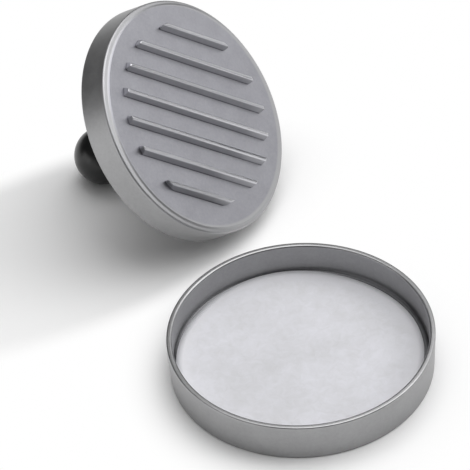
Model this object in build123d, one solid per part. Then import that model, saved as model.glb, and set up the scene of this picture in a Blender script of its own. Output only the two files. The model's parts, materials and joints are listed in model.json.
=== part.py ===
from build123d import *
import os
from math import acos, atan2, cos, degrees, hypot, radians, sin, sqrt

os.makedirs("parts", exist_ok=True)

# A two-piece patty press of cast aluminium: a shallow round mould, and a ribbed press plate
# with a black ball handle.  The mould stands on the table with a disc of wax paper in it.
# The press leans beside it, on the back edge of its skirt and on its ball.
# Millimetres and degrees.  Origin: the centre of the mould's underside.  +Z is up.

# ---- Press plate ----
PLATE_RADIUS = 56.9
PLATE_DEPTH = 14.9            # from the flat face to the back edge of the skirt
FACE_THICKNESS = 3.4
SKIRT_WALL = 3.0              # at the back edge
SKIRT_DRAFT = 0.6             # the inside of the skirt opens by this much towards the back
FACE_MARGIN = 3.9             # the flat face ends this far inside the skirt's outside
FACE_STEP = 0.3               # the face stands this far proud of the land around it
FACE_EDGE_RADIUS = 0.2
LAND_DROP = 0.8               # the land falls this far from the step to the skirt
SHOULDER_RADIUS = 3.0         # the round between the land and the skirt
BACK_EDGE_RADIUS = 0.8
PAN_FILLET = 3.0              # inside corner between the face's back and the skirt

# ---- Ribs on the face ----
RIB_COUNT = 7
RIB_BASE = 4.3
RIB_CREST = 1.4
RIB_HEIGHT = 3.5
RIB_MARGIN = 8.8              # all ribs end on a circle this far inside the flat face
OUTER_RIB_MARGIN = 4.9        # the first and last rib lie this far inside that circle
RIB_END_DRAFT = 0.2           # the rib ends lean in by this much at the crest
RIB_CORNER_RADIUS = 1.4
RIB_CREST_RADIUS = 0.5
RIB_ROOT = 1.0                # the rib's footing inside the plate
RIB_TURN = -53.7              # direction of the ribs on the face, from the level line

# ---- Boss in the hollow back, which carries the handle ----
BOSS_RADIUS = 12.5
BOSS_DRAFT = 1.2              # the boss is this much wider at its root
BOSS_SET_BACK = 1.0           # the boss stops this far inside the skirt's back edge
BOSS_FILLET = 3.0
BOSS_EDGE_RADIUS = 0.6

# ---- Handle stud and the insert it screws into ----
STUD_RADIUS = 4.0
STUD_IN_BOSS = 9.0
STUD_IN_INSERT = 14.0
STUD_CHAMFER = 0.8
THREAD_GAP = 0.1              # radial room for the thread
TAP_RUN_OUT = 1.5             # the tapped hole is deeper than the stud by this much
INSERT_RADIUS = 6.5
INSERT_LENGTH = 16.0
INSERT_LAND = 3.0             # length of each collar of the insert
INSERT_NECK_DEPTH = 0.8       # depth of the grooves that key the insert in the plastic
MOULDED_GAP = 0.05

# ---- Handle ----
BALL_RADIUS = 13.8
BALL_REACH = 48.7             # from the skirt's back edge to the ball's centre
FOOT_RADIUS = 11.8
FOOT_HEIGHT = 3.0
FOOT_EDGE_RADIUS = 1.0
NECK_RADIUS = 7.6
NECK_FLARE_RADIUS = 30.0      # long concave round from the neck to the foot
NECK_BLEND = 4.0              # round where the neck meets the ball

# ---- Mould ----
RUNNING_GAP = 0.5             # between the press plate and the mould's wall
MOULD_WALL = 2.6              # at the rim
MOULD_HEIGHT = 19.2
MOULD_FLOOR = 3.0             # thickness
MOULD_TAPER = 0.8             # the outside is this much narrower at the table
RIM_OUTER_RADIUS = 0.7
RIM_INNER_RADIUS = 0.9
BASE_EDGE_RADIUS = 1.0
WELL_FILLET = 1.6             # inside corner between the floor and the wall
FOOT_RING_WIDTH = 5.0         # flat ring that the mould stands on
FOOT_RING_HEIGHT = 1.2
FOOT_RING_FILLET = 0.8

# ---- Wax paper ----
PAPER_MARGIN = 0.6            # the disc is cut this much smaller than the flat of the floor, all round
PAPER_THICKNESS = 0.3
PAPER_GAP = 0.15              # the sheet is not quite flat, so its middle lies this far up
PAPER_SHIFT_X = -0.7
PAPER_SHIFT_Y = 0.8

# ---- Where the press stands beside the mould ----
PRESS_X = -51.7               # centre of the skirt's back edge
PRESS_Y = 119.3
PRESS_TURN = 64.15            # turned this far from facing -Y towards +X


def revolved(outline):
    """A closed half-section in the XZ plane, turned once about the Z axis."""
    return revolve(Plane.XZ * outline, Axis.Z)


def corners(outline, radius, spots):
    """Round the corners of a half-section that lie at the given (x, y) spots."""
    for spot in spots:
        vertex = outline.vertices().sort_by_distance(Vector(*spot, 0))[0]
        outline = fillet(vertex, radius)
    return outline


def press_tilt():
    """Angle of the press's axis above the level at which skirt edge and ball both stand."""
    ring = PLATE_RADIUS - BACK_EDGE_RADIUS
    reach = BALL_REACH + BACK_EDGE_RADIUS
    rise = BALL_RADIUS - BACK_EDGE_RADIUS
    return degrees(acos(rise / hypot(ring, reach)) - atan2(reach, ring))


def press_plane():
    """Plane of the skirt's back edge: Z along the press axis towards the face, X level."""
    tilt = radians(press_tilt())
    turn = radians(PRESS_TURN)
    axis = Vector(cos(tilt) * sin(turn), -cos(tilt) * cos(turn), sin(tilt))
    level = Vector(cos(turn), sin(turn), 0)
    lift = (PLATE_RADIUS - BACK_EDGE_RADIUS) * cos(tilt) + BACK_EDGE_RADIUS * (1 - sin(tilt))
    return Plane(origin=(PRESS_X, PRESS_Y, lift), x_dir=level, z_dir=axis)


def mould_dish():
    """Cast dish on a foot ring: slightly tapered outside, straight bore, rounded rim."""
    bore = PLATE_RADIUS + RUNNING_GAP
    rim = bore + MOULD_WALL
    base = rim - MOULD_TAPER
    recess = base - FOOT_RING_WIDTH
    floor = FOOT_RING_HEIGHT + MOULD_FLOOR
    outline = Polyline(
        (0, FOOT_RING_HEIGHT), (recess, FOOT_RING_HEIGHT), (recess, 0), (base, 0),
        (rim, MOULD_HEIGHT), (bore, MOULD_HEIGHT), (bore, floor), (0, floor), close=True,
    )
    section = make_face(outline)
    section = corners(section, FOOT_RING_FILLET, [(recess, FOOT_RING_HEIGHT)])
    section = corners(section, BASE_EDGE_RADIUS, [(base, 0)])
    section = corners(section, RIM_OUTER_RADIUS, [(rim, MOULD_HEIGHT)])
    section = corners(section, RIM_INNER_RADIUS, [(bore, MOULD_HEIGHT)])
    section = corners(section, WELL_FILLET, [(bore, floor)])
    return revolved(section)


def wax_paper():
    """One disc of wax paper, a little off centre in the mould."""
    floor_flat = PLATE_RADIUS + RUNNING_GAP - WELL_FILLET
    disc = extrude(Circle(floor_flat - PAPER_MARGIN), PAPER_THICKNESS)
    height = FOOT_RING_HEIGHT + MOULD_FLOOR + PAPER_GAP
    return Pos(PAPER_SHIFT_X, PAPER_SHIFT_Y, height) * disc


def plate_body():
    """Face, skirt and boss, turned about the press axis.  The face looks along +Z."""
    pan_top = PLATE_DEPTH - FACE_THICKNESS
    skirt_back = PLATE_RADIUS - SKIRT_WALL
    skirt_root = skirt_back - SKIRT_DRAFT
    boss_root = BOSS_RADIUS + BOSS_DRAFT
    face_edge = PLATE_RADIUS - FACE_MARGIN
    land = PLATE_DEPTH - FACE_STEP
    shoulder = land - LAND_DROP
    outline = Polyline(
        (0, BOSS_SET_BACK), (BOSS_RADIUS, BOSS_SET_BACK), (boss_root, pan_top),
        (skirt_root, pan_top), (skirt_back, 0), (PLATE_RADIUS, 0), (PLATE_RADIUS, shoulder),
        (face_edge, land), (face_edge, PLATE_DEPTH), (0, PLATE_DEPTH), close=True,
    )
    section = make_face(outline)
    section = corners(section, BOSS_EDGE_RADIUS, [(BOSS_RADIUS, BOSS_SET_BACK)])
    section = corners(section, BOSS_FILLET, [(boss_root, pan_top)])
    section = corners(section, PAN_FILLET, [(skirt_root, pan_top)])
    section = corners(section, BACK_EDGE_RADIUS, [(skirt_back, 0), (PLATE_RADIUS, 0)])
    section = corners(section, SHOULDER_RADIUS, [(PLATE_RADIUS, shoulder)])
    section = corners(section, FACE_EDGE_RADIUS, [(face_edge, PLATE_DEPTH)])
    return revolved(section)


def rib_reach():
    """Radius of the circle on which the ribs end, at their foot."""
    return PLATE_RADIUS - FACE_MARGIN - RIB_MARGIN


def rib_field():
    """The round block that all the ribs are cut from.  Its side leans in towards the crests."""
    foot = rib_reach()
    height = 2 * RIB_HEIGHT
    top = foot - RIB_END_DRAFT * height / RIB_HEIGHT
    return revolved(make_face(Polyline(
        (0, -RIB_ROOT), (foot, -RIB_ROOT), (foot, 0), (top, height), (0, height), close=True,
    )))


def rib(offset):
    """One raised rib: sloping flanks, soft crest, rounded corners, ends on the round field."""
    base = RIB_BASE / 2
    crest = RIB_CREST / 2
    section = make_face(Polyline(
        (-base, -RIB_ROOT), (base, -RIB_ROOT), (base, 0), (crest, RIB_HEIGHT),
        (-crest, RIB_HEIGHT), (-base, 0), close=True,
    ))
    section = corners(section, RIB_CREST_RADIUS, [(-crest, RIB_HEIGHT), (crest, RIB_HEIGHT)])
    bar = Pos(0, offset, 0) * extrude(Plane.YZ * section, rib_reach(), both=True)
    strip = Pos(0, offset) * Rectangle(2 * rib_reach(), RIB_BASE)
    footprint = strip & Circle(rib_reach())
    footprint = fillet(footprint.vertices(), RIB_CORNER_RADIUS)
    block = extrude(footprint, 2 * RIB_HEIGHT) + extrude(footprint, -2 * RIB_ROOT)
    return bar & block & rib_field()


def press_plate():
    """The cast plate with its ribs and tapped hole."""
    plate = plate_body()
    middle = (RIB_COUNT - 1) / 2
    pitch = (rib_reach() - OUTER_RIB_MARGIN) / middle
    for number in range(RIB_COUNT):
        offset = (number - middle) * pitch
        plate += Pos(0, 0, PLATE_DEPTH) * Rot(0, 0, RIB_TURN) * rib(offset)
    hole_depth = STUD_IN_BOSS + TAP_RUN_OUT
    hole = extrude(Circle(STUD_RADIUS + THREAD_GAP), hole_depth)
    return plate - Pos(0, 0, BOSS_SET_BACK) * hole


def handle():
    """Black ball handle: a foot on the boss, a neck that flares to the foot, and the ball."""
    foot_top = BOSS_SET_BACK - FOOT_HEIGHT
    flare_turn = acos(1 - (FOOT_RADIUS - NECK_RADIUS) / NECK_FLARE_RADIUS)
    flare_end = foot_top - NECK_FLARE_RADIUS * sin(flare_turn)
    flare_centre = NECK_RADIUS + NECK_FLARE_RADIUS
    flare = ThreePointArc(
        (FOOT_RADIUS, foot_top),
        (flare_centre - NECK_FLARE_RADIUS * cos(flare_turn / 2),
         flare_end + NECK_FLARE_RADIUS * sin(flare_turn / 2)),
        (NECK_RADIUS, flare_end),
    )
    ball_top = sqrt(BALL_RADIUS**2 - NECK_RADIUS**2) - BALL_REACH
    neck = Line((NECK_RADIUS, flare_end), (NECK_RADIUS, ball_top))
    ball_end = -BALL_REACH - BALL_RADIUS
    ball = ThreePointArc((NECK_RADIUS, ball_top), (BALL_RADIUS, -BALL_REACH), (0, ball_end))
    core = Polyline(
        (0, ball_end), (0, BOSS_SET_BACK), (FOOT_RADIUS, BOSS_SET_BACK), (FOOT_RADIUS, foot_top),
    )
    section = make_face([flare, neck, ball, core])
    section = corners(section, NECK_BLEND, [(NECK_RADIUS, ball_top)])
    section = corners(section, FOOT_EDGE_RADIUS, [(FOOT_RADIUS, foot_top)])
    pocket_depth = INSERT_LENGTH + MOULDED_GAP
    pocket = extrude(Circle(INSERT_RADIUS + MOULDED_GAP), -pocket_depth)
    return revolved(section) - Pos(0, 0, BOSS_SET_BACK) * pocket


def handle_insert():
    """Brass insert moulded into the handle: two collars with a groove between, bored through."""
    length = INSERT_LENGTH
    neck = INSERT_RADIUS - INSERT_NECK_DEPTH
    bore = STUD_RADIUS + THREAD_GAP
    outline = Polyline(
        (bore, 0), (INSERT_RADIUS, 0), (INSERT_RADIUS, -INSERT_LAND), (neck, -INSERT_LAND),
        (neck, INSERT_LAND - length), (INSERT_RADIUS, INSERT_LAND - length),
        (INSERT_RADIUS, -length), (bore, -length), close=True,
    )
    return Pos(0, 0, BOSS_SET_BACK) * revolved(make_face(outline))


def handle_stud():
    """Steel stud that joins the insert to the boss."""
    rod = Pos(0, 0, BOSS_SET_BACK) * extrude(Circle(STUD_RADIUS), STUD_IN_BOSS)
    rod += Pos(0, 0, BOSS_SET_BACK) * extrude(Circle(STUD_RADIUS), -STUD_IN_INSERT)
    return chamfer(rod.edges().filter_by(GeomType.CIRCLE), STUD_CHAMFER)


def write(node, shape):
    export_step(shape, f"parts/{node}.step")


leaning = press_plane().location
write("mould_dish", mould_dish())
write("wax_paper", wax_paper())
write("press_plate", leaning * press_plate())
write("ball_handle", leaning * handle())
write("handle_insert", leaning * handle_insert())
write("handle_stud", leaning * handle_stud())
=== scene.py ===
import json
import math

import bmesh
import bpy
from mathutils import Matrix, Vector, noise


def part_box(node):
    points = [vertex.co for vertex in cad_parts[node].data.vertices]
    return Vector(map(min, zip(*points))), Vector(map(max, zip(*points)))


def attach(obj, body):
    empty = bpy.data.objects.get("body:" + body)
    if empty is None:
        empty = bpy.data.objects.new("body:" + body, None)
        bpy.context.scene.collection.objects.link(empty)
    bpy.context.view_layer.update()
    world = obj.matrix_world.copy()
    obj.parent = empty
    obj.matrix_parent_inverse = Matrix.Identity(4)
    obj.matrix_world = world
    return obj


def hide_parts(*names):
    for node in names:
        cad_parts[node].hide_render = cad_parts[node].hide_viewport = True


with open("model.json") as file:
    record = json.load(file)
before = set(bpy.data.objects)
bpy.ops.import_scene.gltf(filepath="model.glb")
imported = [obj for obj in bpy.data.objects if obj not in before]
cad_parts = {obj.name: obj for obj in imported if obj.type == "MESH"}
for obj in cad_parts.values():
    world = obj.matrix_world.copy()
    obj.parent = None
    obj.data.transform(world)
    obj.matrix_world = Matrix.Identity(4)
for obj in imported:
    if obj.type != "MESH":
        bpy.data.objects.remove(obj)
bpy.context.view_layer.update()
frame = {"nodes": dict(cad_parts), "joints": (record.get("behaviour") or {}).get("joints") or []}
scene = bpy.context.scene
scene.view_settings.view_transform = "Standard"


# ---- Studio: camera ----
# A long lens looks down at the pair from the front, about 42 degrees above the table.  The
# camera is rolled a few degrees, so that the table's own lines lean a little.

CAMERA_PLACE = Vector((-0.0263, -1.1915, 1.1538))
CAMERA_PITCH = 42.02
CAMERA_ROLL = 3.71
CAMERA_LENS = 283.4
CAMERA_SENSOR = 36.0

lens = bpy.data.cameras.new("studio_camera")
lens.lens = CAMERA_LENS
lens.sensor_width = CAMERA_SENSOR
lens.clip_end = 20.0
camera = bpy.data.objects.new("studio_camera", lens)
scene.collection.objects.link(camera)
tilt = Matrix.Rotation(math.radians(90 - CAMERA_PITCH), 4, "X")
roll = Matrix.Rotation(math.radians(-CAMERA_ROLL), 4, "Z")
camera.matrix_world = Matrix.Translation(CAMERA_PLACE) @ tilt @ roll
scene.camera = camera


# ---- Studio: table and light ----
# A matt white table that runs out to plain white.  Two wide softboxes light it, one straight
# above and one that leans over from the back right.  Two smaller ones stand lower on the
# right, and two flat ones fill from the left and the front left.  The room around is dim, so
# that satin metal turned to the back left goes dark.

TABLE_RADIUS = 4.0
TABLE_WHITE = "F8F8F8"
ROOM_LIGHT = 0.08
STAGE_MIDDLE = Vector((-0.02, 0.06, 0.02))

# The table keeps its own shade in two places: a long patch that runs from under the press to
# the front left, and a ring round the mould.  Each has a middle, a turn in degrees, its length
# over its width, and how far across it starts to clear and has cleared.
PRESS_SHADE = ((-0.102, 0.090, 0), 26, 2.4, 0.047, 0.062)
MOULD_SHADE = ((0.003, -0.003, 0), 0, 1.0, 0.058, 0.086)

# Name, bearing from the back towards the right, height above the table in degrees, distance,
# width and height in metres, and radiance.
SOFTBOXES = (
    ("key_softbox", 54, 68, 1.6, (2.0, 2.0), 1.72),
    ("overhead_softbox", 0, 90, 1.6, (2.4, 2.4), 0.70),
    ("right_softbox", 60, 16, 1.8, (0.9, 1.2), 1.01),
    ("side_softbox", 90, 32, 1.8, (0.9, 0.9), 2.07),
    ("left_fill", 255, 9, 1.8, (1.2, 0.6), 1.27),
    ("front_fill", 225, 9, 1.8, (1.2, 0.6), 0.74),
)


def linear(code):
    """sRGB hex to the linear colour that shaders take."""
    channels = [int(code[i:i + 2], 16) / 255 for i in (0, 2, 4)]
    return [c / 12.92 if c <= 0.04045 else ((c + 0.055) / 1.055) ** 2.4 for c in channels] + [1.0]


def add(tree, kind, inputs=None, **settings):
    """One node.  Inputs are numbers, or sockets to link."""
    node = tree.nodes.new(kind)
    for name, value in settings.items():
        setattr(node, name, value)
    for key, value in (inputs or {}).items():
        if isinstance(value, bpy.types.NodeSocket):
            tree.links.new(value, node.inputs[key])
        else:
            node.inputs[key].default_value = value
    return node


def new_material(name):
    """A material with an empty node tree, and the place on the object that its patterns read."""
    material = bpy.data.materials.new(name)
    material.use_nodes = True
    material.node_tree.nodes.clear()
    place = add(material.node_tree, "ShaderNodeTexCoord").outputs["Object"]
    return material, material.node_tree, place


def mesh_object(name, bm):
    """The finished bmesh as an object of the scene."""
    mesh = bpy.data.meshes.new(name)
    bm.to_mesh(mesh)
    bm.free()
    made = bpy.data.objects.new(name, mesh)
    scene.collection.objects.link(made)
    return made


bm = bmesh.new()
bmesh.ops.create_circle(bm, cap_ends=True, segments=96, radius=TABLE_RADIUS)
table = mesh_object("studio_table", bm)

white, tree, place = new_material("matt_white_table")
path = add(tree, "ShaderNodeLightPath")
glow = add(tree, "ShaderNodeMath", {0: path.outputs["Is Camera Ray"],
                                    1: path.outputs["Is Glossy Ray"]}, operation="MAXIMUM")
for middle, turn, stretch, near, far in (PRESS_SHADE, MOULD_SHADE):
    patch = add(tree, "ShaderNodeMapping", {
        "Vector": place, "Location": middle, "Rotation": (0, 0, math.radians(turn)),
        "Scale": (stretch, 1, 1)}, vector_type="TEXTURE")
    across = add(tree, "ShaderNodeVectorMath", {0: patch.outputs[0]}, operation="LENGTH")
    clear = add(tree, "ShaderNodeMapRange", {"Value": across.outputs["Value"], "From Min": near,
                                             "From Max": far}, interpolation_type="SMOOTHSTEP")
    glow = add(tree, "ShaderNodeMath", {0: glow.outputs[0], 1: clear.outputs[0]},
               operation="MULTIPLY")
paint = add(tree, "ShaderNodeBsdfDiffuse", {"Color": linear(TABLE_WHITE)})
sweep = add(tree, "ShaderNodeEmission", {"Color": linear("FFFFFF"), "Strength": 1.0})
cover = add(tree, "ShaderNodeMixShader", {0: glow.outputs[0], 1: paint.outputs[0],
                                          2: sweep.outputs[0]})
add(tree, "ShaderNodeOutputMaterial", {"Surface": cover.outputs[0]})
table.data.materials.append(white)


def softbox(name, place, size, radiance):
    """A rectangular lamp aimed at the middle of the stage, which sees it at this radiance."""
    lamp = bpy.data.lights.new(name, "AREA")
    lamp.shape = "RECTANGLE"
    lamp.size, lamp.size_y = size
    lamp.energy = radiance * math.pi * size[0] * size[1]
    made = bpy.data.objects.new(name, lamp)
    scene.collection.objects.link(made)
    made.location = place
    made.rotation_euler = (STAGE_MIDDLE - place).to_track_quat("-Z", "Y").to_euler()
    made.visible_camera = False


for name, bearing, height, distance, size, radiance in SOFTBOXES:
    side, rise = math.radians(bearing), math.radians(height)
    way = Vector((math.cos(rise) * math.sin(side), math.cos(rise) * math.cos(side),
                  math.sin(rise)))
    softbox(name, STAGE_MIDDLE + way * distance, size, radiance)

room = bpy.data.worlds.new("dim_room")
room.use_nodes = True
room.node_tree.nodes.clear()
air = add(room.node_tree, "ShaderNodeBackground", {"Color": linear("FFFFFF"),
                                                   "Strength": ROOM_LIGHT})
add(room.node_tree, "ShaderNodeOutputWorld", {"Surface": air.outputs[0]})
scene.world = room


# ---- Mould dish ----
# A shallow round dish of cast aluminium with a low foot ring under its edge.  Cast, turned
# at the rim and in the bore, then blasted to an even satin grey.  Sizes are in millimetres.

MM = 0.001
ROUND_STEPS = 288
PLATE_RADIUS = 56.9
RUNNING_GAP = 0.5
MOULD_WALL = 2.6
MOULD_TAPER = 0.8
MOULD_HEIGHT = 19.2
MOULD_FLOOR = 3.0
FOOT_RING_HEIGHT = 1.2
FOOT_RING_WIDTH = 5.0
FOOT_RING_FILLET = 0.8
BASE_EDGE_RADIUS = 1.0
RIM_OUTER_RADIUS = 0.7
RIM_INNER_RADIUS = 0.9
WELL_FILLET = 1.6
MOULD_GREYS = ("9A9A9B", "A6A6A7")
# Painted shade in the corner of the well: its grey, and how far the colour goes towards it.
CORNER_SHADE_GREY = "4A4B4F"
CORNER_SHADE_AMOUNT = 0.72
CAST_ROUGHNESS = 0.42
RIM_ROUGHNESS = 0.28

bore = PLATE_RADIUS + RUNNING_GAP
rim = bore + MOULD_WALL
base = rim - MOULD_TAPER
recess = base - FOOT_RING_WIDTH
floor_top = FOOT_RING_HEIGHT + MOULD_FLOOR


def turned(points):
    """An outline of (radius, height) points in millimetres, turned once about Z."""
    bm = bmesh.new()
    dots = [bm.verts.new((r * MM, 0, z * MM)) for r, z in points]
    lines = [bm.edges.new(pair) for pair in zip(dots, dots[1:])]
    bmesh.ops.spin(bm, geom=dots + lines, cent=(0, 0, 0), axis=(0, 0, 1), angle=2 * math.pi,
                   steps=ROUND_STEPS, use_merge=True, use_duplicate=False)
    bmesh.ops.remove_doubles(bm, verts=bm.verts, dist=1e-7)
    bmesh.ops.recalc_face_normals(bm, faces=bm.faces)
    return bm


def soften(bm, spot, radius, segments=6):
    """Rounds the ring edge at this (radius, height) spot, with the true radius of the round."""
    def on_spot(vert):
        away = Vector((math.hypot(vert.co.x, vert.co.y) - spot[0] * MM, vert.co.z - spot[1] * MM))
        return away.length < 0.02 * MM
    ring = [e for e in bm.edges if on_spot(e.verts[0]) and on_spot(e.verts[1])]
    turn = ring[0].calc_face_angle()
    bmesh.ops.bevel(bm, geom=ring, offset=radius * MM * math.tan(turn / 2), offset_type="OFFSET",
                    segments=segments, profile=0.5, affect="EDGES", material=-1)


def finish_piece(piece, material, body, node, sharp=40):
    """Smooth shading with sharp creases kept, the material, and the piece's place in the frame."""
    piece.data.polygons.foreach_set("use_smooth", [True] * len(piece.data.polygons))
    piece.data.set_sharp_from_angle(angle=math.radians(sharp))
    even = piece.modifiers.new("even_normals", "WEIGHTED_NORMAL")
    even.keep_sharp = True
    piece.data.materials.append(material)
    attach(piece, body)
    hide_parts(node)


def blasted(name, greys, wear_and_painted_light):
    """Bead-blasted cast aluminium: faintly cloudy and flecked from the casting skin, with an even
    fine grain.  The last argument lays the piece's own wear and polish, and its painted light and
    shade, over the plain colour and roughness."""
    material, tree, place = new_material(name)
    clouds = add(tree, "ShaderNodeTexNoise", {"Vector": place, "Scale": 1 / 0.010, "Detail": 3.0,
                                              "Roughness": 0.6})
    flecks = add(tree, "ShaderNodeTexNoise", {"Vector": place, "Scale": 1 / 0.0014, "Detail": 4.0,
                                              "Roughness": 0.7})
    skin = add(tree, "ShaderNodeMix", {"Factor": 0.55, 2: clouds.outputs["Fac"],
                                       3: flecks.outputs["Fac"]})
    spread = add(tree, "ShaderNodeMapRange", {"Value": skin.outputs[0], "From Min": 0.36,
                                              "From Max": 0.64})
    tone = add(tree, "ShaderNodeMix", {"Factor": spread.outputs[0], 6: linear(greys[0]),
                                       7: linear(greys[1])}, data_type="RGBA")
    gloss = add(tree, "ShaderNodeMapRange", {"Value": spread.outputs[0],
                                             "To Min": CAST_ROUGHNESS - 0.04,
                                             "To Max": CAST_ROUGHNESS + 0.04})
    colour, roughness = wear_and_painted_light(tree, place, tone.outputs[2], gloss.outputs[0])
    grain = add(tree, "ShaderNodeTexNoise", {"Vector": place, "Scale": 1 / 0.0006, "Detail": 2.0})
    bump = add(tree, "ShaderNodeBump", {"Height": grain.outputs["Fac"], "Strength": 0.12,
                                        "Distance": 0.0002})
    metal = add(tree, "ShaderNodeBsdfPrincipled", {
        "Base Color": colour, "Metallic": 1.0, "Roughness": roughness,
        "Normal": bump.outputs[0]})
    add(tree, "ShaderNodeOutputMaterial", {"Surface": metal.outputs[0]})
    return material


def ramp(tree, value, start, end):
    """A soft rise from 0 at the start to 1 at the end, both in millimetres."""
    return add(tree, "ShaderNodeMapRange", {"Value": value, "From Min": start * MM,
                                            "From Max": end * MM},
               interpolation_type="SMOOTHSTEP").outputs[0]


def both(tree, first, second):
    """Where two masks hold together."""
    return add(tree, "ShaderNodeMath", {0: first, 1: second}, operation="MULTIPLY").outputs[0]


def round_place(tree, place):
    """The distance from the Z axis and the height, as two sockets."""
    flat = add(tree, "ShaderNodeVectorMath", {0: place, 1: (1, 1, 0)}, operation="MULTIPLY")
    radius = add(tree, "ShaderNodeVectorMath", {0: flat.outputs[0]}, operation="LENGTH")
    height = add(tree, "ShaderNodeSeparateXYZ", {0: place})
    return radius.outputs["Value"], height.outputs["Z"]


def mould_shade_and_polish(tree, place, colour, roughness):
    """Painted shade in the corner of the well, where wall and floor meet, as a darker grey, and
    polished along the turned rim."""
    radius, height = round_place(tree, place)
    # Painted shade: near the floor of the bore the colour goes darker, towards the corner grey,
    # where wall and floor shade each other.
    ring = both(tree, ramp(tree, radius, bore - 4.4, bore - 2.4),
                ramp(tree, radius, bore + 1.0, bore + 0.2))
    corner = both(tree, ring, ramp(tree, height, floor_top + 2.2, floor_top + 0.1))
    corner_shade = add(tree, "ShaderNodeMath", {0: corner, 1: CORNER_SHADE_AMOUNT}, operation="MULTIPLY")
    tone = add(tree, "ShaderNodeMix", {"Factor": corner_shade.outputs[0], 6: colour,
                                       7: linear(CORNER_SHADE_GREY)}, data_type="RGBA")
    polished = ramp(tree, height, MOULD_HEIGHT - 1.4, MOULD_HEIGHT - 0.6)
    worn = add(tree, "ShaderNodeMix", {"Factor": polished, 2: roughness, 3: RIM_ROUGHNESS})
    return tone.outputs[2], worn.outputs[0]


bm = turned([(0, FOOT_RING_HEIGHT), (recess, FOOT_RING_HEIGHT), (recess, 0), (base, 0),
             (rim, MOULD_HEIGHT), (bore, MOULD_HEIGHT), (bore, floor_top), (0, floor_top)])
soften(bm, (recess, FOOT_RING_HEIGHT), FOOT_RING_FILLET, segments=4)
soften(bm, (base, 0), BASE_EDGE_RADIUS)
soften(bm, (rim, MOULD_HEIGHT), RIM_OUTER_RADIUS)
soften(bm, (bore, MOULD_HEIGHT), RIM_INNER_RADIUS)
soften(bm, (bore, floor_top), WELL_FILLET, segments=8)
mould = mesh_object("mould_casting", bm)
mould_metal = blasted("mould_aluminium", MOULD_GREYS, mould_shade_and_polish)
finish_piece(mould, mould_metal, "mould", "mould_dish")


# ---- Wax paper ----
# One loose disc of waxed paper in the bottom of the mould.  It was cut a little smaller
# than the floor, lies off centre, and its edge rises and falls in four soft waves.

PAPER_RADIUS = 55.4
PAPER_RINGS = 18
PAPER_STEPS = 192
PAPER_THICKNESS = 0.12
PAPER_CUT_WAVE = 0.2
PAPER_WAVES = 4
PAPER_WAVE_TURN = 100
PAPER_LIFT = 0.35
PAPER_RIPPLE = 0.10
PAPER_RIPPLE_SIZE = 22.0
PAPER_TONES = ("CBCBCE", "DCDCE2")
# The lighter tone at the paper's edge is painted light, against the wall's shade.
PAPER_EDGE_PAINTED_LIGHT = "DFDFE3"

low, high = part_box("wax_paper")
paper_spot = (low + high) / 2
paper_spot.z = low.z
bm = bmesh.new()
middle = bm.verts.new((0, 0, 0))
radius_line = bm.edges.new((middle, bm.verts.new((PAPER_RADIUS * MM, 0, 0))))
bmesh.ops.subdivide_edges(bm, edges=[radius_line], cuts=PAPER_RINGS)
bmesh.ops.spin(bm, geom=bm.verts[:] + bm.edges[:], cent=(0, 0, 0), axis=(0, 0, 1),
               angle=2 * math.pi, steps=PAPER_STEPS, use_merge=True, use_duplicate=False)
bmesh.ops.remove_doubles(bm, verts=bm.verts, dist=1e-7)
for v in bm.verts:
    out = v.co.length / (PAPER_RADIUS * MM)
    wave = math.cos(PAPER_WAVES * (math.atan2(v.co.y, v.co.x) - math.radians(PAPER_WAVE_TURN)))
    ripple = PAPER_RIPPLE * noise.noise(v.co / (PAPER_RIPPLE_SIZE * MM))
    v.co *= 1 + PAPER_CUT_WAVE * wave * out ** 4 / PAPER_RADIUS
    v.co.z = (PAPER_LIFT * (1 + wave) * out ** 6 + ripple) * MM
bmesh.ops.recalc_face_normals(bm, faces=bm.faces)
bmesh.ops.translate(bm, verts=bm.verts, vec=paper_spot)
paper = mesh_object("wax_paper_disc", bm)
paper.data.polygons.foreach_set("use_smooth", [True] * len(paper.data.polygons))
thick = paper.modifiers.new("thickness", "SOLIDIFY")
thick.thickness = PAPER_THICKNESS * MM
thick.offset = 0

# Waxed paper: white, a little cool, nearly matt, with soft fibrous patches in the sheet.  Towards
# its edge it is painted lighter, as painted light against the shade that the mould's wall casts
# there.
waxed, tree, place = new_material("waxed_paper")
patches = add(tree, "ShaderNodeTexNoise", {"Vector": place, "Scale": 1 / 0.022, "Detail": 3.0})
pulp = add(tree, "ShaderNodeTexNoise", {"Vector": place, "Scale": 1 / 0.004, "Detail": 5.0,
                                        "Roughness": 0.6, "Distortion": 0.8})
sheen = add(tree, "ShaderNodeMix", {"Factor": 0.5, 2: patches.outputs["Fac"],
                                    3: pulp.outputs["Fac"]})
spread = add(tree, "ShaderNodeMapRange", {"Value": sheen.outputs[0], "From Min": 0.32,
                                          "From Max": 0.68})
tone = add(tree, "ShaderNodeMix", {"Factor": spread.outputs[0], 6: linear(PAPER_TONES[0]),
                                   7: linear(PAPER_TONES[1])}, data_type="RGBA")
centred = add(tree, "ShaderNodeVectorMath", {0: place, 1: tuple(paper_spot)},
              operation="SUBTRACT")
out = add(tree, "ShaderNodeVectorMath", {0: centred.outputs[0]}, operation="LENGTH")
# Painted light: from the middle out to the edge the tone goes lighter, to offset the wall's shade.
edge = ramp(tree, out.outputs["Value"], PAPER_RADIUS - 8.4, PAPER_RADIUS - 0.4)
edge_painted_light = add(tree, "ShaderNodeMix", {"Factor": edge, 6: tone.outputs[2],
                                     7: linear(PAPER_EDGE_PAINTED_LIGHT)}, data_type="RGBA")
fibres = add(tree, "ShaderNodeBump", {"Height": pulp.outputs["Fac"], "Strength": 0.15,
                                      "Distance": 0.0004})
sheet = add(tree, "ShaderNodeBsdfPrincipled", {
    "Base Color": edge_painted_light.outputs[2], "Roughness": 0.5, "Specular IOR Level": 0.4,
    "Normal": fibres.outputs[0]})
add(tree, "ShaderNodeOutputMaterial", {"Surface": sheet.outputs[0]})
paper.data.materials.append(waxed)

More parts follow.
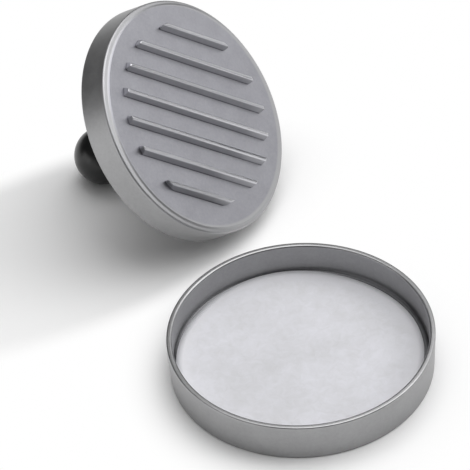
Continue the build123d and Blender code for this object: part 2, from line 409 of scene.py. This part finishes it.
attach(paper, "paper")
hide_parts("wax_paper")


# ---- Press plate ----
# A cast aluminium plate with a skirt, hollow behind, where a boss takes the handle's stud.
# Its face stands up a little and carries seven ribs.  It leans on the back edge of its skirt,
# and its own Z points out of its face.

PLATE_DEPTH = 14.9
FACE_THICKNESS = 3.4
SKIRT_WALL = 3.0
SKIRT_DRAFT = 0.6
BACK_EDGE_RADIUS = 0.8
PAN_FILLET = 3.0
BOSS_SET_BACK = 1.0
BOSS_RADIUS = 12.5
BOSS_DRAFT = 1.2
BOSS_EDGE_RADIUS = 0.6
BOSS_FILLET = 3.0
HOLE_RADIUS = 4.1

# Round the raised face lies a narrow land, and the shoulder falls from it to the skirt.  They
# were dressed by hand, so the face's edge and the land lie a little off centre.
FACE_RADIUS = 53.9
FACE_EDGE_RADIUS = 0.8
FACE_SHIFT = Vector((0.7, -1.1, 0))
LAND_RADIUS = 54.8
LAND_Z = 14.45
LAND_EDGE_RADIUS = 1.2
LAND_SHIFT = Vector((0.0, -0.6, 0))
SHOULDER_TOP = 56.4
SHOULDER_Z = 14.2
SHOULDER_RADIUS = 1.0
DRESSED_FROM = 50.0
LAND_FROM = 55.0
DRESSED_DEPTH = 2.0

RIB_COUNT = 7
RIB_PITCH = 13.1
RIB_BASE = 4.3
RIB_CREST = 1.4
RIB_HEIGHT = 3.5
RIB_ROOT = 1.0
RIB_FIELD = 44.2
RIB_TURN = -53.7
RIB_ROUND = 0.65
RIB_CORNER = 0.4
RIB_POINT = 1.4
POINTED = 75

PRESS_GREYS = ("9B9B9C", "A7A7A8")
FACE_TINT = "F5F5FC"
# The shoulder is worn lighter and also carries a painted highlight.
SHOULDER_WEAR_AND_HIGHLIGHT_GREY = "A9A9AB"
# The ribs are painted lighter, to lift the shade on their flanks.
FLANK_PAINTED_LIGHT_GREY = "B2B2B6"
# A painted shade line along the feet of the ribs, in the crease.
FOOT_PAINTED_SHADE_GREY = "77777B"
# The crests are worn lighter and smoother, and also carry a painted highlight.
CREST_WEAR_AND_HIGHLIGHT_GREY = "D0D0D4"
CREST_ROUGHNESS = 0.30

# The middle of the skirt's back edge stands here, so high that the edge just touches the table.
PRESS_SPOT = Vector((-51.7, 119.3, 44.1629))

lift = next(j for j in frame["joints"] if j["name"] == "press_lift")
press_axis = Vector(lift["axis"]).normalized()
level = Vector((0, 0, 1)).cross(press_axis).normalized()
up_plate = press_axis.cross(level)
lean = Matrix((level, up_plate, press_axis)).transposed().to_4x4()
lean.translation = PRESS_SPOT * MM


def boolean(piece, other, operation):
    """Joins or trims a piece with another, which is used up."""
    step = piece.modifiers.new("step", "BOOLEAN")
    step.object, step.operation, step.solver = other, operation, "EXACT"
    graph = bpy.context.evaluated_depsgraph_get()
    mesh = bpy.data.meshes.new_from_object(piece.evaluated_get(graph))
    piece.modifiers.clear()
    piece.data = mesh
    bpy.data.objects.remove(other)


def push(bm, way):
    """Extrudes all the faces of a flat bmesh into closed solids."""
    pushed = bmesh.ops.extrude_face_region(bm, geom=bm.faces[:], use_keep_orig=True)["geom"]
    bmesh.ops.translate(bm, vec=way, verts=[g for g in pushed if isinstance(g, bmesh.types.BMVert)])
    bmesh.ops.recalc_face_normals(bm, faces=bm.faces)


skirt_back = PLATE_RADIUS - SKIRT_WALL
skirt_root = skirt_back - SKIRT_DRAFT
pan_top = PLATE_DEPTH - FACE_THICKNESS
boss_root = BOSS_RADIUS + BOSS_DRAFT
bm = turned([(0, pan_top), (HOLE_RADIUS, pan_top), (HOLE_RADIUS, BOSS_SET_BACK),
             (BOSS_RADIUS, BOSS_SET_BACK), (boss_root, pan_top), (skirt_root, pan_top),
             (skirt_back, 0), (PLATE_RADIUS, 0), (SHOULDER_TOP, SHOULDER_Z),
             (LAND_RADIUS, LAND_Z), (FACE_RADIUS, PLATE_DEPTH), (0, PLATE_DEPTH)])
soften(bm, (BOSS_RADIUS, BOSS_SET_BACK), BOSS_EDGE_RADIUS, segments=3)
soften(bm, (boss_root, pan_top), BOSS_FILLET)
soften(bm, (skirt_root, pan_top), PAN_FILLET)
soften(bm, (skirt_back, 0), BACK_EDGE_RADIUS)
soften(bm, (PLATE_RADIUS, 0), BACK_EDGE_RADIUS)
soften(bm, (SHOULDER_TOP, SHOULDER_Z), SHOULDER_RADIUS)
soften(bm, (LAND_RADIUS, LAND_Z), LAND_EDGE_RADIUS, segments=3)
soften(bm, (FACE_RADIUS, PLATE_DEPTH), FACE_EDGE_RADIUS, segments=4)
face_middle = [v for v in bm.verts if v.co.to_2d().length < 1e-6
               and v.co.z > PLATE_DEPTH * MM / 2]
bmesh.ops.dissolve_verts(bm, verts=face_middle)
for v in bm.verts:
    out = v.co.to_2d().length / MM
    if out > DRESSED_FROM and v.co.z > (SHOULDER_Z - DRESSED_DEPTH) * MM:
        v.co += (FACE_SHIFT if out < LAND_FROM else LAND_SHIFT) * MM
plate = mesh_object("press_casting", bm)

# Each rib is a bar with sloping flanks, trimmed to a footprint whose ends lie on the circle of
# the rib field.  Its crest is rounded, and so are its corners, the pointed ones more.
bars, feet = bmesh.new(), bmesh.new()
foot, crest = RIB_BASE / 2, RIB_CREST / 2
section = [(-foot, -RIB_ROOT), (foot, -RIB_ROOT), (foot, 0), (crest, RIB_HEIGHT),
           (-crest, RIB_HEIGHT), (-foot, 0)]
for number in range(RIB_COUNT):
    aside = (number - (RIB_COUNT - 1) / 2) * RIB_PITCH
    bars.faces.new([bars.verts.new((-PLATE_RADIUS * MM, (aside + y) * MM, z * MM))
                    for y, z in section])
    reach = {side: math.sqrt(RIB_FIELD ** 2 - (aside + side * foot) ** 2) for side in (-1, 1)}
    outline = [(-reach[-1], -1), (reach[-1], -1), (reach[1], 1), (-reach[1], 1)]
    cut = feet.faces.new([feet.verts.new((x * MM, (aside + side * foot) * MM, -RIB_ROOT / 2 * MM))
                          for x, side in outline])
    for corner, turn in [(loop.vert, loop.calc_angle()) for loop in cut.loops]:
        radius = RIB_POINT if turn < math.radians(POINTED) else RIB_CORNER
        bmesh.ops.bevel(feet, geom=[corner], offset=radius * MM / math.tan(turn / 2),
                        segments=6, profile=0.5, affect="VERTICES", material=-1)
push(bars, (2 * PLATE_RADIUS * MM, 0, 0))
push(feet, (0, 0, 2 * RIB_HEIGHT * MM))
ribs = mesh_object("ribs", bars)
rib_ends = mesh_object("rib_ends", feet)
bpy.context.view_layer.update()
boolean(ribs, rib_ends, "INTERSECT")

bm = bmesh.new()
bm.from_mesh(ribs.data)
crest_edges = [e for e in bm.edges if all(v.co.z > (RIB_HEIGHT - 0.01) * MM for v in e.verts)
               and e.calc_face_angle(0) > 0.3]
bmesh.ops.bevel(bm, geom=crest_edges, offset=RIB_ROUND * MM, offset_type="OFFSET", segments=4,
                profile=0.5, affect="EDGES", material=-1)
bmesh.ops.transform(bm, verts=bm.verts, matrix=Matrix.Translation((0, 0, PLATE_DEPTH * MM))
                    @ Matrix.Rotation(math.radians(RIB_TURN), 4, "Z"))
bm.to_mesh(ribs.data)
bm.free()
bpy.context.view_layer.update()
boolean(plate, ribs, "UNION")
plate.data.transform(lean)


def on_plate(tree, place):
    """The place measured in the leaning plate's own frame."""
    square = lean.inverted()
    return add(tree, "ShaderNodeMapping", {
        "Vector": place, "Location": square.translation, "Rotation": square.to_euler("XYZ")}
               ).outputs[0]


def press_wear_and_painted_light(tree, place, colour, roughness):
    """The face is a little bluer than the skirt.  The shoulder is worn lighter and also carries a
    painted highlight; the ribs are painted lighter, to lift the shade on their flanks; their crests
    are worn smoothest and carry the brightest painted highlight; and a painted shade line runs
    along their feet, in the crease."""
    radius, height = round_place(tree, on_plate(tree, place))

    def above_face(start, end):
        return ramp(tree, height, PLATE_DEPTH + start, PLATE_DEPTH + end)

    face = above_face(-1.3, -0.3)
    shoulder = both(tree, ramp(tree, radius, FACE_RADIUS - 1.3, FACE_RADIUS - 0.1),
                    above_face(-2.3, -0.9))
    flank = above_face(0.3, 0.9)
    foot_line = both(tree, above_face(0.05, 0.2), above_face(0.6, 0.3))
    crest = above_face(RIB_HEIGHT - 0.8, RIB_HEIGHT - 0.2)
    tone = add(tree, "ShaderNodeMix", {"Factor": face, 6: colour, 7: linear(FACE_TINT)},
               data_type="RGBA", blend_type="MULTIPLY").outputs[2]
    # Painted light and shade: a worn, painted highlight on the shoulder and crests, lighter painted
    # flanks, and a painted shade line at the feet.
    for mask, grey in ((shoulder, SHOULDER_WEAR_AND_HIGHLIGHT_GREY), (flank, FLANK_PAINTED_LIGHT_GREY),
                       (foot_line, FOOT_PAINTED_SHADE_GREY), (crest, CREST_WEAR_AND_HIGHLIGHT_GREY)):
        tone = add(tree, "ShaderNodeMix", {"Factor": mask, 6: tone, 7: linear(grey)},
                   data_type="RGBA").outputs[2]
    smooth = add(tree, "ShaderNodeMix", {"Factor": crest, 2: roughness, 3: CREST_ROUGHNESS})
    return tone, smooth.outputs[0]


press_metal = blasted("press_aluminium", PRESS_GREYS, press_wear_and_painted_light)
finish_piece(plate, press_metal, "press", "press_plate")


# ---- Ball handle ----
# One black phenolic moulding, screwed onto the stud: a foot that sits on the boss, a neck
# that flares to the foot, and a polished ball, which the press also leans on.

BALL_RADIUS = 13.8
BALL_REACH = 48.7
NECK_RADIUS = 7.6
NECK_BLEND = 4.0
FLARE_RADIUS = 30.0
FOOT_RADIUS = 11.8
FOOT_HEIGHT = 3.0
FOOT_EDGE_RADIUS = 1.0
POCKET_RADIUS = 6.55
POCKET_DEPTH = 16.05
HANDLE_STEPS = 128
BLACK = "0A0A0B"


def arc(bm, start, centre, degrees, steps):
    """Extrudes a point round a centre in the XZ plane and returns the last point."""
    swept = bmesh.ops.spin(bm, geom=[start], cent=centre, axis=(0, 1, 0),
                           angle=math.radians(degrees), steps=steps, use_duplicate=False)
    return next(g for g in swept["geom_last"] if isinstance(g, bmesh.types.BMVert))


# The outline runs from the bottom of the insert's pocket out round the foot, down the neck
# and round the ball.
foot_top = BOSS_SET_BACK - FOOT_HEIGHT
pocket_top = BOSS_SET_BACK - POCKET_DEPTH
flare_turn = math.degrees(math.acos(1 - (FOOT_RADIUS - NECK_RADIUS) / FLARE_RADIUS))
flare_end = foot_top - FLARE_RADIUS * math.sin(math.radians(flare_turn))
ball_top = math.sqrt(BALL_RADIUS ** 2 - NECK_RADIUS ** 2) - BALL_REACH
ball_turn = 180 - math.degrees(math.asin(NECK_RADIUS / BALL_RADIUS))
bm = bmesh.new()
dots = [bm.verts.new((r * MM, 0, z * MM)) for r, z in (
    (0, pocket_top), (POCKET_RADIUS, pocket_top), (POCKET_RADIUS, BOSS_SET_BACK),
    (FOOT_RADIUS, BOSS_SET_BACK), (FOOT_RADIUS, foot_top))]
for pair in zip(dots, dots[1:]):
    bm.edges.new(pair)
neck = arc(bm, dots[-1], ((NECK_RADIUS + FLARE_RADIUS) * MM, 0, flare_end * MM), -flare_turn, 12)
ball = bm.verts.new((NECK_RADIUS * MM, 0, ball_top * MM))
bm.edges.new((neck, ball))
arc(bm, ball, (0, 0, -BALL_REACH * MM), ball_turn, 48)
bmesh.ops.spin(bm, geom=bm.verts[:] + bm.edges[:], cent=(0, 0, 0), axis=(0, 0, 1),
               angle=2 * math.pi, steps=HANDLE_STEPS, use_merge=True, use_duplicate=False)
bmesh.ops.remove_doubles(bm, verts=bm.verts, dist=1e-6)
bmesh.ops.recalc_face_normals(bm, faces=bm.faces)
soften(bm, (NECK_RADIUS, ball_top), NECK_BLEND)
soften(bm, (FOOT_RADIUS, foot_top), FOOT_EDGE_RADIUS)
handle = mesh_object("handle_moulding", bm)
handle.data.transform(lean)

# Polished phenolic: deep black and glossy, with a faint haze where hands have held it.
phenolic, tree, place = new_material("black_phenolic_polished")
haze = add(tree, "ShaderNodeTexNoise", {"Vector": place, "Scale": 1 / 0.006, "Detail": 3.0})
gloss = add(tree, "ShaderNodeMapRange", {"Value": haze.outputs["Fac"], "To Min": 0.26,
                                         "To Max": 0.34})
black = add(tree, "ShaderNodeBsdfPrincipled", {
    "Base Color": linear(BLACK), "Roughness": gloss.outputs[0], "IOR": 1.5})
add(tree, "ShaderNodeOutputMaterial", {"Surface": black.outputs[0]})
finish_piece(handle, phenolic, "press", "ball_handle", sharp=50)


# ---- Insert and stud ----
# Both are hidden in the joint between handle and boss, and keep the frame's own shapes.  The
# insert is turned brass, knurled along its length, and the stud is zinc-plated steel with an
# M8 thread.

KNURLS = 60
THREAD_PITCH = 1.25
BRASS = ("B08D4B", "BF9C58")
ZINC = ("A9ABAE", "B9BCC0")


def knurl(tree, upright):
    """Fine ridges all round, along the axis."""
    turn = add(tree, "ShaderNodeTexGradient", {"Vector": upright}, gradient_type="RADIAL")
    many = add(tree, "ShaderNodeMath", {0: turn.outputs["Fac"], 1: KNURLS}, operation="MULTIPLY")
    return add(tree, "ShaderNodeMath", {0: many.outputs[0], 1: 0.5},
               operation="PINGPONG").outputs[0]


def thread(tree, upright):
    """One ridge to each pitch.  The wave texture's bands are tau / 20 apart at scale 1."""
    return add(tree, "ShaderNodeTexWave", {
        "Vector": upright, "Scale": math.tau / (20 * THREAD_PITCH * MM)},
        wave_type="BANDS", bands_direction="Z", wave_profile="TRI").outputs["Fac"]


for node, name, tones, rough, cut in (
        ("handle_insert", "turned_brass", BRASS, 0.30, knurl),
        ("handle_stud", "zinc_plated_steel", ZINC, 0.34, thread)):
    material, tree, place = new_material(name)
    ridges = cut(tree, on_plate(tree, place))
    tarnish = add(tree, "ShaderNodeTexNoise", {"Vector": place, "Scale": 1 / 0.004,
                                               "Detail": 4.0})
    tone = add(tree, "ShaderNodeMix", {"Factor": tarnish.outputs["Fac"], 6: linear(tones[0]),
                                       7: linear(tones[1])}, data_type="RGBA")
    gloss = add(tree, "ShaderNodeMapRange", {"Value": tarnish.outputs["Fac"],
                                             "To Min": rough - 0.05, "To Max": rough + 0.05})
    bump = add(tree, "ShaderNodeBump", {"Height": ridges, "Strength": 0.8, "Distance": 0.0004})
    metal = add(tree, "ShaderNodeBsdfPrincipled", {
        "Base Color": tone.outputs[2], "Metallic": 1.0, "Roughness": gloss.outputs[0],
        "Normal": bump.outputs[0]})
    add(tree, "ShaderNodeOutputMaterial", {"Surface": metal.outputs[0]})
    for held in frame["nodes"][node].material_slots:
        held.material = material
